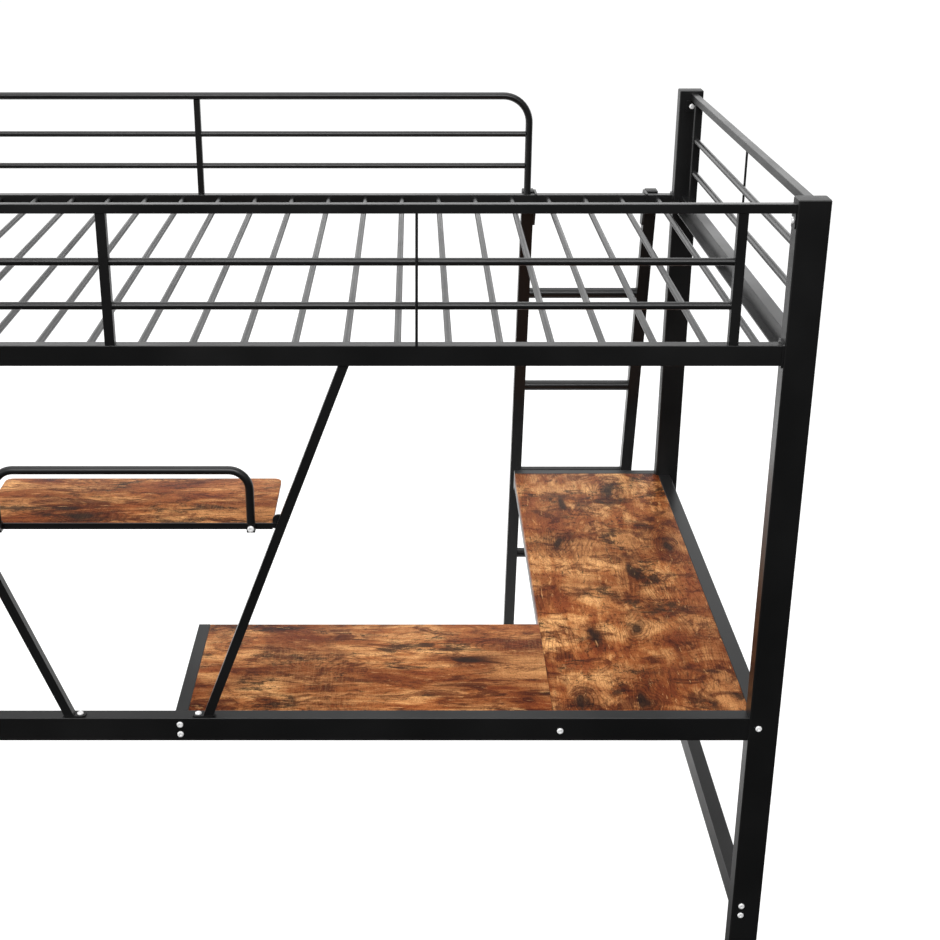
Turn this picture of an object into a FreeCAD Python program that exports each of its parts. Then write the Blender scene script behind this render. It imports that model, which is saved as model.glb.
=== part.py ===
import FreeCAD, Part
import math
import os

# Loft bed with an L-shaped desk, a V brace with a small shelf, and a hook-on ladder.
# Millimetres. X runs along the bed, Y from the front to the ladder side, Z up.
# Everything is laid out about the middle of the bed and moved to the middle of the
# whole footprint, ladder included, when it is written out.

# Overall sizes
BED_LENGTH = 1988.0
BED_WIDTH = 1060.0
POST_HEIGHT = 1460.0
BED_RAIL_TOP = 1256.0
DESK_TOP = 655.0

# Tubes
WALL = 1.4
POST_W = 46.0
POST_D = 32.0
POST_ROUND = 2.5
RAIL_T = 20.0
RAIL_H = 30.0
RAIL_INSET_X = 11.0
RAIL_INSET_Y = 3.0
DESK_RAIL_H = 40.0
DESK_RAIL_T = 25.0
DESK_END_INSET = 5.0
STRETCHER_H = 40.0
STRETCHER_INSET = 5.5
DESK_BACK_T = 20.0
GUARD_RAIL = 13.0
GUARD_UPRIGHT = 14.0
BAR_D = 11.0
BAR_WALL = 1.2
WIRE_D = 4.0
LOOP_D = 14.0
BRACE_T = 14.0

# Slats
SLAT_COUNT = 26
SLAT_PITCH = 73.4
SLAT_D = 10.5
SLAT_DROP = 10.0
SUPPORT_W = 12.0
SUPPORT_T = 6.0
SUPPORT_Y = 40.0
LEDGE_W = 12.0
LEDGE_T = 2.5
LEDGE_DROP = 25.0

# Guards, measured up from the floor or out from the middle
GUARD_TOP = 1455.5
GUARD_BAR_Z = (1374.5, 1312.0)
FRONT_UPRIGHT_X = 876.0
FRONT_WIRE_X = 431.0
END_UPRIGHT_INSET = 55.0
BACK_LOOP_X = 656.0
BACK_LOOP_BEND = 52.0
BACK_UPRIGHT = 12.0
TAB_H = 22.0
TAB_W = 22.0
TAB_T = 2.0

# Desk
BOARD_T = 15.0
DESK_ARM_X = 54.0
DESK_ARM_W = 20.0
DESK_SPLIT_X = 645.0
DESK_FRONT_DEPTH = 296.0
CROSS_W = 20.0
CROSS_H = 16.0
STRIP_W = 18.0
STRIP_T = 2.5
STRETCHER_TOP = 315.0

# V brace and shelf
BRACE_FOOT_X = 108.0
BRACE_TOP_X = 328.0
BRACE_HALF_W = BRACE_T * 0.54
FOOT_T = 2.5
FOOT_BOLT_X = 92.0
SHELF_TOP = 978.8
SHELF_FACE_H = 7.0
SHELF_SETBACK = 13.0
SHELF_DEPTH = 181.0
SHELF_T = 6.5
SHELF_HALF = 218.0
ANGLE_T = 2.5
ANGLE_W = 24.0
SHELF_GUARD_X = 187.0
SHELF_GUARD_TOP = 1072.0
SHELF_GUARD_D = 12.5
SHELF_GUARD_BEND = 30.0
SHELF_GUARD_FOOT_W = 12.5
SHELF_GUARD_FOOT_D = 12.5
SHELF_GUARD_FOOT_H = 9.5
SHELF_GUARD_FOOT_RISE = 4.0
SHELF_BOLT_DROP = 3.8
SHELF_ARM_X = 150.0
SHELF_ARM_W = 20.0
SHELF_ARM_GAP = 8.0
LUG_T = 3.0
LUG_RISE = 12.0
LUG_REACH = 2.0
LUG_ROUND = 8.0

# Ladder
LADDER_LEFT_X = 647.0
LADDER_RIGHT_X = 897.0
LADDER_TUBE_W = 24.0
LADDER_TUBE_D = 25.0
LADDER_LEAN = 12.3
LADDER_TOP = 1257.0
LADDER_GAP = 4.0
RUNG_D = 22.0
RUNG_TOPS = (1042.0, 821.5, 599.5, 374.5, 147.5)
HOOK_T = 4.0
HOOK_ARM = 3.0
HOOK_LIP = 22.0
HOOK_CLEAR = 0.5
HOOK_DROP = 70.0
CAP_H = 3.0
CAP_ROUND = 2.5

# Bolts
BOLT_R = 5.0
BOLT_HEAD = 2.6
POST_BOLT_X = 15.0
POST_BOLT_DROP = 17.0
STRETCHER_BOLT_DROPS = (11.0, 29.0)
ARM_BOLT_DROPS = (11.0, 28.0)
CROSS_BOLT_DROP = 22.5
SOCKET_R = 1.8
SOCKET_DEPTH = 1.2

HALF_L = BED_LENGTH / 2
HALF_W = BED_WIDTH / 2
POST_IN_X = HALF_L - POST_W
POST_IN_Y = HALF_W - POST_D
DESK_END_X = POST_IN_X + DESK_END_INSET
END_UPRIGHT_Y = POST_IN_Y - END_UPRIGHT_INSET
RAIL_OUT_X = HALF_L - RAIL_INSET_X
RAIL_IN_X = RAIL_OUT_X - RAIL_T
RAIL_OUT_Y = HALF_W - RAIL_INSET_Y
RAIL_IN_Y = RAIL_OUT_Y - RAIL_T
RAIL_BOTTOM = BED_RAIL_TOP - RAIL_H
GUARD_X = RAIL_OUT_X - GUARD_UPRIGHT / 2
GUARD_Y = RAIL_OUT_Y - GUARD_UPRIGHT / 2
BRACKET_T = 3.0
DESK_RAIL_BOTTOM = DESK_TOP - DESK_RAIL_H
DESK_RAIL_OUT_Y = RAIL_OUT_Y
DESK_RAIL_IN_Y = DESK_RAIL_OUT_Y - DESK_RAIL_T
DESK_BACK_IN_Y = RAIL_OUT_Y - DESK_BACK_T
BOARD_BOTTOM = DESK_TOP - BOARD_T
LEAN_SLOPE = math.tan(math.radians(LADDER_LEAN))
LADDER_THICK_Y = LADDER_TUBE_D / math.cos(math.radians(LADDER_LEAN))
LADDER_TOP_Y = RAIL_OUT_Y + LADDER_GAP
LADDER_FOOT_Y = LADDER_TOP_Y + LEAN_SLOPE * LADDER_TOP
FOOTPRINT_BACK = LADDER_FOOT_Y + LADDER_THICK_Y
SHIFT_Y = (HALF_W + BOLT_HEAD - FOOTPRINT_BACK) / 2
SHELF_FACE_Y = -RAIL_OUT_Y + SHELF_SETBACK

V = FreeCAD.Vector
X_AXIS = V(1, 0, 0)
Y_AXIS = V(0, 1, 0)
Z_AXIS = V(0, 0, 1)


def box(x0, x1, y0, y1, z0, z1):
    return Part.makeBox(x1 - x0, y1 - y0, z1 - z0, V(x0, y0, z0))


def mirror_x(shape):
    return shape.mirror(V(0, 0, 0), X_AXIS)


def mirror_y(shape):
    return shape.mirror(V(0, 0, 0), Y_AXIS)


def long_edges(shape, axis):
    found = []
    for edge in shape.Edges:
        ends = edge.Vertexes
        run = ends[1].Point.sub(ends[0].Point)
        run.normalize()
        if abs(run.dot(axis)) > 0.999:
            found.append(edge)
    return found


def rect_tube(x0, x1, y0, y1, z0, z1, axis, wall=WALL, rounding=1.0):
    """Rectangular tube closed at both ends, its four long edges rounded."""
    outer = box(x0, x1, y0, y1, z0, z1)
    outer = outer.makeFillet(rounding, long_edges(outer, axis))
    inner = box(x0 + wall, x1 - wall, y0 + wall, y1 - wall, z0 + wall, z1 - wall)
    return outer.cut(inner)


def round_tube(start, axis, length, diameter, wall=BAR_WALL):
    """Straight round tube, open at both ends."""
    outer = Part.makeCylinder(diameter / 2, length, start, axis)
    inner = Part.makeCylinder(diameter / 2 - wall, length, start, axis)
    return outer.cut(inner)


def prism_xz(points, y0, y1):
    """Solid with an outline in the XZ plane, running from y0 to y1."""
    corners = [V(x, y0, z) for x, z in points]
    face = Part.Face(Part.makePolygon(corners + corners[:1]))
    return face.extrude(V(0, y1 - y0, 0))


def prism_yz(points, x0, x1):
    """Solid with an outline in the YZ plane, running from x0 to x1."""
    corners = [V(x0, y, z) for y, z in points]
    face = Part.Face(Part.makePolygon(corners + corners[:1]))
    return face.extrude(V(x1 - x0, 0, 0))


def bent_loop(half_width, y, foot_z, top_z, bend, diameter):
    """Round tube bent into a wide upside-down U, its feet on a flat face."""
    z = top_z - diameter / 2
    arc = bend * math.sin(math.radians(45))
    left_foot = V(-half_width, y, foot_z)
    left_low = V(-half_width, y, z - bend)
    left_mid = V(-half_width + bend - arc, y, z - bend + arc)
    left_high = V(-half_width + bend, y, z)
    right_high = V(half_width - bend, y, z)
    right_mid = V(half_width - bend + arc, y, z - bend + arc)
    right_low = V(half_width, y, z - bend)
    right_foot = V(half_width, y, foot_z)
    edges = [Part.makeLine(left_foot, left_low)]
    edges.append(Part.Arc(left_low, left_mid, left_high).toShape())
    edges.append(Part.makeLine(left_high, right_high))
    edges.append(Part.Arc(right_high, right_mid, right_low).toShape())
    edges.append(Part.makeLine(right_low, right_foot))
    path = Part.Wire(edges)
    outer = Part.Wire(Part.makeCircle(diameter / 2, left_foot, Z_AXIS))
    inner = Part.Wire(Part.makeCircle(diameter / 2 - BAR_WALL, left_foot, Z_AXIS))
    skin = path.makePipeShell([outer], True, True)
    hollow = path.makePipeShell([inner], True, True)
    return skin.cut(hollow)


def bolt_head(position, axis):
    """Low domed head with a small hexagon socket, its flat side on a face."""
    head = Part.makeCone(BOLT_R, BOLT_R * 0.72, BOLT_HEAD, position, axis)
    base = Part.makeCylinder(BOLT_R, 0.8, position, axis)
    head = head.common(Part.makeSphere(BOLT_R * 2.2, position.add(V(axis).multiply(-BOLT_R * 1.65))))
    socket_start = position.add(V(axis).multiply(BOLT_HEAD - SOCKET_DEPTH))
    socket = Part.makeCylinder(SOCKET_R, SOCKET_DEPTH * 2, socket_start, axis)
    return head.fuse(base).removeSplitter().cut(socket)


def make_post():
    return rect_tube(POST_IN_X, HALF_L, -HALF_W, -POST_IN_Y, 0, POST_HEIGHT, Z_AXIS, WALL, POST_ROUND)


def make_side_rail():
    end = POST_IN_X - BRACKET_T
    return rect_tube(-end, end, -RAIL_OUT_Y, -RAIL_IN_Y, RAIL_BOTTOM, BED_RAIL_TOP, X_AXIS)


def make_rail_bracket():
    plate = box(POST_IN_X - BRACKET_T, POST_IN_X, -HALF_W + 1, -POST_IN_Y - 1,
                RAIL_BOTTOM - 4, BED_RAIL_TOP + 4)
    return plate.makeFillet(5, long_edges(plate, X_AXIS))


def make_end_rail():
    return rect_tube(RAIL_IN_X, RAIL_OUT_X, -POST_IN_Y, POST_IN_Y, RAIL_BOTTOM, BED_RAIL_TOP, Y_AXIS)


def make_end_ledge():
    top = BED_RAIL_TOP - LEDGE_DROP
    return box(RAIL_IN_X - LEDGE_W, RAIL_IN_X, -POST_IN_Y, POST_IN_Y, top - LEDGE_T, top)


def make_centre_support():
    """Flat bar under the slats, a little behind the middle, from one end rail to the other."""
    high = BED_RAIL_TOP - SLAT_DROP - SLAT_D / 2
    bar = box(-RAIL_IN_X, RAIL_IN_X, SUPPORT_Y - SUPPORT_W / 2, SUPPORT_Y + SUPPORT_W / 2,
              high - SUPPORT_T, high)
    return bar.makeFillet(1, long_edges(bar, X_AXIS))


def make_slat(index):
    x = (index - (SLAT_COUNT - 1) / 2) * SLAT_PITCH
    start = V(x, -RAIL_IN_Y, BED_RAIL_TOP - SLAT_DROP)
    return round_tube(start, Y_AXIS, 2 * RAIL_IN_Y, SLAT_D)


def make_guard_upright(x, y):
    half = GUARD_UPRIGHT / 2
    return rect_tube(x - half, x + half, y - half, y + half,
                     BED_RAIL_TOP, GUARD_TOP - GUARD_RAIL, Z_AXIS, 1.2, 0.8)


def make_front_top_rail():
    y0 = -RAIL_OUT_Y
    return rect_tube(-POST_IN_X, POST_IN_X, y0, y0 + GUARD_RAIL,
                     GUARD_TOP - GUARD_RAIL, GUARD_TOP, X_AXIS, 1.2, 0.8)


def make_front_bars():
    half = GUARD_UPRIGHT / 2
    length = FRONT_UPRIGHT_X - GUARD_UPRIGHT
    bars = []
    for z in GUARD_BAR_Z:
        right = round_tube(V(half, -GUARD_Y, z), X_AXIS, length, BAR_D)
        bars.append(right)
        bars.append(mirror_x(right))
    return bars


def make_front_wires():
    y = -GUARD_Y - BAR_D / 2 - WIRE_D / 2
    length = GUARD_TOP - GUARD_RAIL - BED_RAIL_TOP
    wire = Part.makeCylinder(WIRE_D / 2, length, V(FRONT_WIRE_X, y, BED_RAIL_TOP))
    return [wire, mirror_x(wire)]


def make_back_loop():
    return bent_loop(BACK_LOOP_X, GUARD_Y, BED_RAIL_TOP, GUARD_TOP, BACK_LOOP_BEND, LOOP_D)


def make_back_upright():
    half = BACK_UPRIGHT / 2
    return rect_tube(-half, half, GUARD_Y - half, GUARD_Y + half,
                     BED_RAIL_TOP, GUARD_TOP - LOOP_D, Z_AXIS, 1.2, 0.8)


def make_back_bars():
    start = BACK_UPRIGHT / 2
    length = BACK_LOOP_X - LOOP_D / 2 - start
    bars = []
    for z in GUARD_BAR_Z:
        right = round_tube(V(start, GUARD_Y, z), X_AXIS, length, BAR_D)
        bars.append(right)
        bars.append(mirror_x(right))
    return bars


def make_end_top_rail():
    return rect_tube(RAIL_OUT_X - GUARD_RAIL, RAIL_OUT_X, -POST_IN_Y, POST_IN_Y,
                     GUARD_TOP - GUARD_RAIL, GUARD_TOP, Y_AXIS, 1.2, 0.8)


def make_end_uprights():
    return [make_guard_upright(GUARD_X, -END_UPRIGHT_Y), make_guard_upright(GUARD_X, END_UPRIGHT_Y)]


def make_end_bars():
    y = END_UPRIGHT_Y - GUARD_UPRIGHT / 2
    return [round_tube(V(GUARD_X, -y, z), Y_AXIS, 2 * y, BAR_D) for z in GUARD_BAR_Z]


def make_end_wire():
    x = GUARD_X + BAR_D / 2 + WIRE_D / 2
    length = GUARD_TOP - GUARD_RAIL - BED_RAIL_TOP
    return Part.makeCylinder(WIRE_D / 2, length, V(x, 0, BED_RAIL_TOP))


def make_tabs():
    """Small ears under the guard top rails, one flat on each post."""
    high = GUARD_TOP - GUARD_RAIL
    low = high - TAB_H
    front = box(POST_IN_X - TAB_T, POST_IN_X, -RAIL_OUT_Y, -RAIL_OUT_Y + TAB_W, low, high)
    front = front.makeFillet(4, long_edges(front, X_AXIS)[:1])
    end = box(RAIL_OUT_X - TAB_W, RAIL_OUT_X, POST_IN_Y - TAB_T, POST_IN_Y, low, high)
    tabs = [front, mirror_x(front)]
    for piece in (end, mirror_y(end)):
        tabs.append(piece)
        tabs.append(mirror_x(piece))
    return tabs


def make_desk_front_rail():
    return rect_tube(-POST_IN_X, POST_IN_X, -DESK_RAIL_OUT_Y, -DESK_RAIL_IN_Y,
                     DESK_RAIL_BOTTOM, DESK_TOP, X_AXIS)


def make_desk_end_rail():
    x0 = DESK_END_X
    return rect_tube(x0, x0 + DESK_RAIL_T, -POST_IN_Y, POST_IN_Y, DESK_RAIL_BOTTOM, DESK_TOP, Y_AXIS)


def make_desk_back_rail():
    return rect_tube(DESK_SPLIT_X, POST_IN_X, DESK_BACK_IN_Y, RAIL_OUT_Y,
                     DESK_RAIL_BOTTOM, DESK_TOP, X_AXIS)


def make_desk_cross_rail():
    top = BOARD_BOTTOM
    return rect_tube(DESK_SPLIT_X, DESK_SPLIT_X + CROSS_W, -DESK_RAIL_IN_Y, DESK_BACK_IN_Y,
                     top - CROSS_H, top, Y_AXIS)


def make_desk_arm():
    y1 = -DESK_RAIL_IN_Y + DESK_FRONT_DEPTH
    return rect_tube(DESK_ARM_X, DESK_ARM_X + DESK_ARM_W, -DESK_RAIL_IN_Y, y1,
                     DESK_RAIL_BOTTOM, DESK_TOP, Y_AXIS)


def make_desk_rear_support():
    y1 = -DESK_RAIL_IN_Y + DESK_FRONT_DEPTH
    return rect_tube(DESK_ARM_X + DESK_ARM_W, DESK_SPLIT_X, y1 - CROSS_W, y1,
                     BOARD_BOTTOM - CROSS_H, BOARD_BOTTOM, X_AXIS)


def make_desk_strips():
    """Flat strips welded inside the desk rails; the boards lie on them."""
    z0 = BOARD_BOTTOM - STRIP_T
    arm = DESK_ARM_X + DESK_ARM_W
    y0 = -DESK_RAIL_IN_Y
    front_a = box(arm, DESK_SPLIT_X, y0, y0 + STRIP_W, z0, BOARD_BOTTOM)
    front_b = box(DESK_SPLIT_X + CROSS_W, POST_IN_X, y0, y0 + STRIP_W, z0, BOARD_BOTTOM)
    y1 = POST_IN_Y - STRIP_W
    end = box(DESK_END_X - STRIP_W, DESK_END_X, -y1, y1, z0, BOARD_BOTTOM)
    back = box(DESK_SPLIT_X + CROSS_W, POST_IN_X, DESK_BACK_IN_Y - STRIP_W, DESK_BACK_IN_Y,
               z0, BOARD_BOTTOM)
    return [front_a, front_b, end, back]


def make_front_board():
    y0 = -DESK_RAIL_IN_Y
    return box(DESK_ARM_X + DESK_ARM_W, DESK_SPLIT_X, y0, y0 + DESK_FRONT_DEPTH, BOARD_BOTTOM, DESK_TOP)


def make_side_board():
    """The board's two outer corners are notched round the posts."""
    board = box(DESK_SPLIT_X, DESK_END_X, -DESK_RAIL_IN_Y, DESK_BACK_IN_Y, BOARD_BOTTOM, DESK_TOP)
    notch = box(POST_IN_X, DESK_END_X, -HALF_W, -POST_IN_Y, BOARD_BOTTOM, DESK_TOP)
    return board.cut(notch).cut(mirror_y(notch))


def make_stretcher():
    x0 = POST_IN_X + STRETCHER_INSET
    return rect_tube(x0, x0 + DESK_RAIL_T, -POST_IN_Y, POST_IN_Y,
                     STRETCHER_TOP - STRETCHER_H, STRETCHER_TOP, Y_AXIS)


def brace_x(z):
    low = DESK_TOP + FOOT_T
    share = (z - low) / (RAIL_BOTTOM - low)
    return BRACE_FOOT_X + share * (BRACE_TOP_X - BRACE_FOOT_X)


def brace_outline(inset_x, inset_z):
    half = BRACE_HALF_W - inset_x
    z0 = DESK_TOP + FOOT_T + inset_z
    z1 = RAIL_BOTTOM - inset_z
    low = brace_x(z0)
    high = brace_x(z1)
    return [(low - half, z0), (low + half, z0), (high + half, z1), (high - half, z1)]


def make_brace():
    y0 = -RAIL_OUT_Y + 3.0
    outer = prism_xz(brace_outline(0, 0), y0, y0 + BRACE_T)
    inner = prism_xz(brace_outline(WALL, WALL), y0 + WALL, y0 + BRACE_T - WALL)
    return outer.cut(inner)


def make_brace_foot():
    y0 = -RAIL_OUT_Y + 2.0
    plate = box(FOOT_BOLT_X - 9, BRACE_FOOT_X + 11, y0, y0 + 18, DESK_TOP, DESK_TOP + FOOT_T)
    return plate.makeFillet(6, long_edges(plate, Z_AXIS))


def make_shelf_rail():
    """Angle bar with its upright leg in front of the board, plus a round lug behind each brace."""
    y0 = SHELF_FACE_Y
    z1 = SHELF_TOP
    z0 = z1 - SHELF_FACE_H
    half = BRACE_HALF_W
    ends = [(-(brace_x(z0) - half), z0), (brace_x(z0) - half, z0)]
    ends += [(brace_x(z1) - half, z1), (-(brace_x(z1) - half), z1)]
    face = prism_xz(ends, y0, y0 + ANGLE_T)
    leg = box(-SHELF_HALF, SHELF_HALF, y0, y0 + ANGLE_W, z0 - ANGLE_T, z0)
    return face.fuse(leg).removeSplitter()


def make_shelf_lugs():
    """Plates behind the braces that the ends of the angle bar are welded to."""
    y = -RAIL_OUT_Y + 3.0 + BRACE_T
    high = SHELF_TOP + LUG_RISE
    low = SHELF_TOP - SHELF_FACE_H - ANGLE_T
    lug = box(SHELF_HALF, brace_x(SHELF_TOP) + LUG_REACH, y, y + LUG_T, low, high)
    upper = [e for e in long_edges(lug, Y_AXIS) if e.CenterOfMass.z > SHELF_TOP]
    corner = [e for e in upper if e.CenterOfMass.x < SHELF_HALF + 1]
    lug = lug.makeFillet(LUG_ROUND, corner)
    return [lug, mirror_x(lug)]


def make_shelf_arms():
    """Two flat bars under the board, from the front angle to its back edge."""
    y0 = SHELF_FACE_Y
    z1 = SHELF_TOP - SHELF_T
    z0 = z1 - ANGLE_T
    arm = box(SHELF_ARM_X, SHELF_ARM_X + SHELF_ARM_W, y0 + ANGLE_W, y0 + SHELF_DEPTH - SHELF_ARM_GAP, z0, z1)
    return [arm, mirror_x(arm)]


def make_shelf_board():
    y0 = SHELF_FACE_Y + ANGLE_T
    board = box(-SHELF_HALF, SHELF_HALF, y0, y0 + SHELF_DEPTH - ANGLE_T, SHELF_TOP - SHELF_T, SHELF_TOP)
    back_edges = [e for e in long_edges(board, Z_AXIS) if e.CenterOfMass.y > y0 + 10]
    return board.makeFillet(12.0, back_edges)


def make_shelf_guard():
    """Low rail in front of the shelf; each leg ends in a flat foot against the angle's face."""
    y = SHELF_FACE_Y - SHELF_GUARD_D / 2
    loop = bent_loop(SHELF_GUARD_X, y, SHELF_TOP, SHELF_GUARD_TOP, SHELF_GUARD_BEND, SHELF_GUARD_D)
    half = SHELF_GUARD_FOOT_W / 2
    foot = box(SHELF_GUARD_X - half, SHELF_GUARD_X + half, SHELF_FACE_Y - SHELF_GUARD_FOOT_D, SHELF_FACE_Y,
               SHELF_TOP - SHELF_GUARD_FOOT_H, SHELF_TOP + SHELF_GUARD_FOOT_RISE)
    for piece in both_ends(foot):
        loop = loop.fuse(piece)
    return loop.removeSplitter()


def ladder_y(z):
    return LADDER_TOP_Y + LEAN_SLOPE * (LADDER_TOP - z)


def make_ladder_rail(x0):
    thick = LADDER_THICK_Y
    outer_pts = [(ladder_y(0), 0), (ladder_y(0) + thick, 0)]
    outer_pts += [(ladder_y(LADDER_TOP) + thick, LADDER_TOP), (ladder_y(LADDER_TOP), LADDER_TOP)]
    low = WALL
    high = LADDER_TOP - WALL
    inner_pts = [(ladder_y(low) + WALL, low), (ladder_y(low) + thick - WALL, low)]
    inner_pts += [(ladder_y(high) + thick - WALL, high), (ladder_y(high) + WALL, high)]
    outer = prism_yz(outer_pts, x0, x0 + LADDER_TUBE_W)
    inner = prism_yz(inner_pts, x0 + WALL, x0 + LADDER_TUBE_W - WALL)
    return outer.cut(inner)


def make_rung(top):
    z = top - RUNG_D / 2
    y = ladder_y(z) + LADDER_THICK_Y / 2
    x0 = LADDER_LEFT_X + LADDER_TUBE_W
    return round_tube(V(x0, y, z), X_AXIS, LADDER_RIGHT_X - x0, RUNG_D, WALL)


def make_hook(x0):
    """Flat hook plate on a ladder rail's side; it reaches over the back side rail."""
    inner = RAIL_IN_Y - HOOK_CLEAR
    outer = RAIL_OUT_Y + HOOK_CLEAR
    top = BED_RAIL_TOP + HOOK_ARM
    lip = BED_RAIL_TOP - HOOK_LIP
    low = BED_RAIL_TOP - HOOK_DROP
    back = ladder_y(low) + LADDER_THICK_Y - 3.0
    points = [(inner - HOOK_ARM, top - 2), (inner - HOOK_ARM, lip), (inner, lip), (inner, BED_RAIL_TOP)]
    points += [(outer, BED_RAIL_TOP), (outer, low + 30), (ladder_y(low), low), (back, low)]
    points += [(back - 14, top - 8), (back - 20, top), (inner - HOOK_ARM + 2, top)]
    return prism_yz(points, x0, x0 + HOOK_T)


def make_hooks():
    return [make_hook(LADDER_LEFT_X + LADDER_TUBE_W), make_hook(LADDER_RIGHT_X - HOOK_T)]


def make_ladder_caps():
    caps = []
    for x0 in (LADDER_LEFT_X, LADDER_RIGHT_X):
        y0 = LADDER_TOP_Y
        cap = box(x0, x0 + LADDER_TUBE_W, y0, y0 + LADDER_THICK_Y, LADDER_TOP, LADDER_TOP + CAP_H)
        top_edges = [e for e in cap.Edges if e.CenterOfMass.z > LADDER_TOP + CAP_H - 0.1]
        caps.append(cap.makeFillet(CAP_ROUND, top_edges))
    return caps


def both_ends(head):
    return [head, mirror_x(head)]


def make_bolts():
    face_y = -DESK_RAIL_OUT_Y
    post_y = -HALF_W
    out = Y_AXIS.negative()
    heads = []
    for drop in ARM_BOLT_DROPS:
        heads.append(bolt_head(V(DESK_ARM_X + DESK_ARM_W / 2, face_y, DESK_TOP - drop), out))
    heads.append(bolt_head(V(DESK_SPLIT_X + CROSS_W / 2, face_y, DESK_TOP - CROSS_BOLT_DROP), out))
    post_z = [DESK_TOP - POST_BOLT_DROP] + [STRETCHER_TOP - drop for drop in STRETCHER_BOLT_DROPS]
    for z in post_z:
        front = bolt_head(V(POST_IN_X + POST_BOLT_X, post_y, z), out)
        heads += both_ends(front)
        heads += both_ends(mirror_y(front))
    high = GUARD_TOP - GUARD_RAIL - TAB_H / 2
    tab = bolt_head(V(POST_IN_X - TAB_T, -RAIL_OUT_Y + TAB_W / 2, high), X_AXIS.negative())
    heads += both_ends(tab)
    end_tab = bolt_head(V(RAIL_OUT_X - TAB_W / 2, POST_IN_Y - TAB_T, high), out)
    heads += both_ends(end_tab)
    heads += both_ends(mirror_y(end_tab))
    return heads


def make_shelf_bolts():
    y = SHELF_FACE_Y - SHELF_GUARD_FOOT_D
    head = bolt_head(V(SHELF_GUARD_X, y, SHELF_TOP - SHELF_BOLT_DROP), Y_AXIS.negative())
    return both_ends(head)


def make_brace_bolts():
    head = bolt_head(V(FOOT_BOLT_X, -RAIL_OUT_Y + 11.0, DESK_TOP + FOOT_T), Z_AXIS)
    return both_ends(head)


def write(name, shapes):
    if not isinstance(shapes, list):
        shapes = [shapes]
    moved = []
    for shape in shapes:
        for solid in shape.Solids:
            copy = solid.copy()
            copy.translate(V(0, SHIFT_Y, 0))
            moved.append(copy)
    whole = moved[0] if len(moved) == 1 else Part.makeCompound(moved)
    whole.exportStep("parts/" + name + ".step")


def write_frame():
    post = make_post()
    write("post_front_right", post)
    write("post_front_left", mirror_x(post))
    write("post_back_right", mirror_y(post))
    write("post_back_left", mirror_x(mirror_y(post)))
    side = make_side_rail()
    write("side_rail_front", side)
    write("side_rail_back", mirror_y(side))
    bracket = make_rail_bracket()
    write("rail_brackets", both_ends(bracket) + both_ends(mirror_y(bracket)))
    for name, maker in (("end_rail", make_end_rail), ("end_ledge", make_end_ledge),
                        ("low_stretcher", make_stretcher), ("desk_end_rail", make_desk_end_rail)):
        piece = maker()
        write(name + "_right", piece)
        write(name + "_left", mirror_x(piece))
    write("centre_support", make_centre_support())
    half = SLAT_COUNT // 2
    write("slats_left", [make_slat(i) for i in range(half)])
    write("slats_right", [make_slat(i) for i in range(half, SLAT_COUNT)])


def write_guards():
    write("front_guard_top_rail", make_front_top_rail())
    write("front_guard_upright_left", make_guard_upright(-FRONT_UPRIGHT_X, -GUARD_Y))
    write("front_guard_upright_centre", make_guard_upright(0, -GUARD_Y))
    write("front_guard_upright_right", make_guard_upright(FRONT_UPRIGHT_X, -GUARD_Y))
    write("front_guard_bars", make_front_bars())
    write("back_guard_loop", make_back_loop())
    write("back_guard_upright", make_back_upright())
    write("back_guard_bars", make_back_bars())
    top = make_end_top_rail()
    uprights = make_end_uprights()
    bars = make_end_bars()
    write("end_guard_top_rail_right", top)
    write("end_guard_top_rail_left", mirror_x(top))
    write("end_guard_uprights_right", uprights)
    write("end_guard_uprights_left", [mirror_x(u) for u in uprights])
    write("end_guard_bars_right", bars)
    write("end_guard_bars_left", [mirror_x(b) for b in bars])
    write("guard_wires", make_front_wires() + both_ends(make_end_wire()))
    write("guard_tabs", make_tabs())


def write_desk():
    write("desk_rail_front", make_desk_front_rail())
    write("desk_rail_back", make_desk_back_rail())
    write("desk_cross_rail", make_desk_cross_rail())
    write("desk_arm", make_desk_arm())
    write("desk_rear_support", make_desk_rear_support())
    write("desk_strips", make_desk_strips())
    write("desk_board_front", make_front_board())
    write("desk_board_side", make_side_board())


def write_shelf():
    brace = make_brace()
    write("brace_right", brace)
    write("brace_left", mirror_x(brace))
    write("brace_feet", both_ends(make_brace_foot()))
    write("shelf_rail", make_shelf_rail())
    write("shelf_lugs", make_shelf_lugs())
    write("shelf_arms", make_shelf_arms())
    write("shelf_board", make_shelf_board())
    write("shelf_guard", make_shelf_guard())


def write_ladder():
    write("ladder_rail_left", make_ladder_rail(LADDER_LEFT_X))
    write("ladder_rail_right", make_ladder_rail(LADDER_RIGHT_X))
    for index, top in enumerate(RUNG_TOPS):
        write("ladder_rung_%d" % (index + 1), make_rung(top))
    write("ladder_hooks", make_hooks())
    write("ladder_caps", make_ladder_caps())


os.makedirs("parts", exist_ok=True)
write_frame()
write_guards()
write_desk()
write_shelf()
write_ladder()
write("bolts", make_bolts() + make_brace_bolts() + make_shelf_bolts())
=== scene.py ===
"""Looks for a metal loft bed with an L-shaped desk, laid out as a Blender add-on and run as a script."""

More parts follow.
